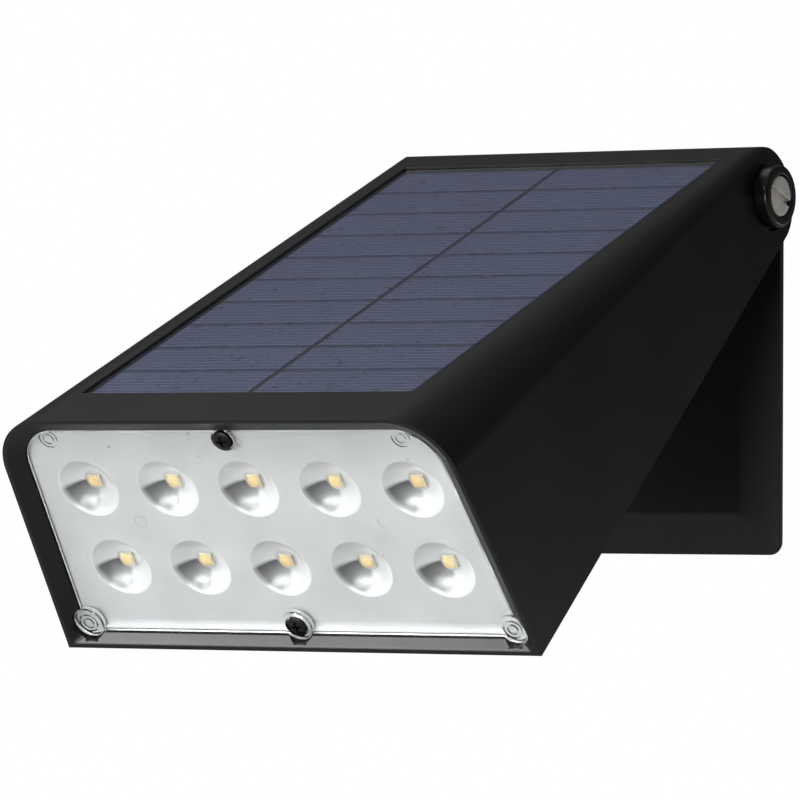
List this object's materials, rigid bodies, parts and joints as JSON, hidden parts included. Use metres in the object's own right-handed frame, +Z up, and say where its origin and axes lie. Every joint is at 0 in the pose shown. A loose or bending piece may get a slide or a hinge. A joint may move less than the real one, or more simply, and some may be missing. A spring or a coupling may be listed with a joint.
{
  "type": "solar flood light",
  "caption": "Wall-mounted solar flood light: a wedge-shaped black lamp head with a solar panel on top and an LED front, tilting on a square wall bracket.",
  "frame": {"origin": "centre of the wall plate's back face, on the wall's surface", "axes": "+Z up along the wall, +Y into the wall, -Y out towards the lamp's front, +X along the tilt axis to the lamp's right as seen from the camera side"},
  "size_m": [0.15, 0.2178, 0.1405],
  "materials": {
    "housing_black": "satin black moulded ABS with a very fine texture",
    "bracket_black": "fine-textured matte black",
    "collar_black": "glossy black",
    "solar_glass": "clear laminated cover sheet",
    "solar_cell": "dark blue silicon with thin silver lines",
    "panel_back": "dark circuit-board laminate",
    "foam_tape": "black closed-cell foam",
    "lens_clear": "clear polycarbonate",
    "reflector_white": "silvery white moulding with bright cups",
    "led_phosphor": "cream-yellow LED phosphor",
    "board_white": "white solder mask on an aluminium board",
    "board_green": "green circuit board",
    "steel": "turned stainless steel",
    "black_steel": "blackened steel",
    "rubber_black": "black silicone rubber",
    "nylon": "natural nylon",
    "battery_wrap": "blue shrink wrap",
    "wire_red": "red insulation",
    "wire_black": "black insulation"
  },
  "bodies": {
    "wall_bracket": {"wall_bracket": "bracket_black", "friction_washer_left": "nylon", "friction_washer_right": "nylon", "pivot_nut_right": "steel"},
    "lamp_head": {"battery_cell_1": "battery_wrap", "battery_cell_2": "battery_wrap", "battery_holder": "nylon", "battery_lead_black": "wire_black", "battery_lead_red": "wire_red", "board_screw_1": "steel", "board_screw_2": "steel", "bottom_cover": "housing_black", "cell_string_left": "solar_cell", "cell_string_right": "solar_cell", "control_board": "board_green", "cover_screw_1": "steel", "cover_screw_2": "steel", "cover_screw_3": "steel", "cover_screw_4": "steel", "cover_screw_5": "steel", "cover_screw_6": "steel", "cover_seal": "rubber_black", "holder_screw_left": "steel", "holder_screw_right": "steel", "lamp_housing": "housing_black", "led_board": "board_white", "led_chip_1": "led_phosphor", "led_chip_10": "led_phosphor", "led_chip_2": "led_phosphor", "led_chip_3": "led_phosphor", "led_chip_4": "led_phosphor", "led_chip_5": "led_phosphor", "led_chip_6": "led_phosphor", "led_chip_7": "led_phosphor", "led_chip_8": "led_phosphor", "led_chip_9": "led_phosphor", "led_lead_black": "wire_black", "led_lead_red": "wire_red", "lens_cover": "lens_clear", "lens_gasket": "rubber_black", "lens_screw_bottom": "black_steel", "lens_screw_top": "black_steel", "mode_switch": "black_steel", "panel_back_board": "panel_back", "panel_cover": "solar_glass", "panel_lead_black": "wire_black", "panel_lead_red": "wire_red", "panel_tape": "foam_tape", "pivot_collar_right": "collar_black", "pivot_pin_left": "steel", "reflector": "reflector_white"},
    "pivot_screw_right": {"pivot_screw_right": "steel"},
    "mode_button": {"mode_button": "rubber_black"}
  },
  "joints": [
    {"name": "lamp_tilt", "type": "hinge", "parent": "wall_bracket", "child": "lamp_head", "pos_m": [0, -0.024, 0.0465], "axis": [1, 0, 0], "range_deg": [-22, 53]},
    {"name": "pivot_screw_right_turn", "type": "hinge", "parent": "wall_bracket", "child": "pivot_screw_right", "pos_m": [0, -0.024, 0.0465], "axis": [1, 0, 0], "range_deg": [0, 270]},
    {"name": "mode_button_press", "type": "slide", "parent": "lamp_head", "child": "mode_button", "axis": [0, -0.5938, 0.8046], "range_m": [0, 0.0012], "stiffness_N_per_m": 400}
  ]
}
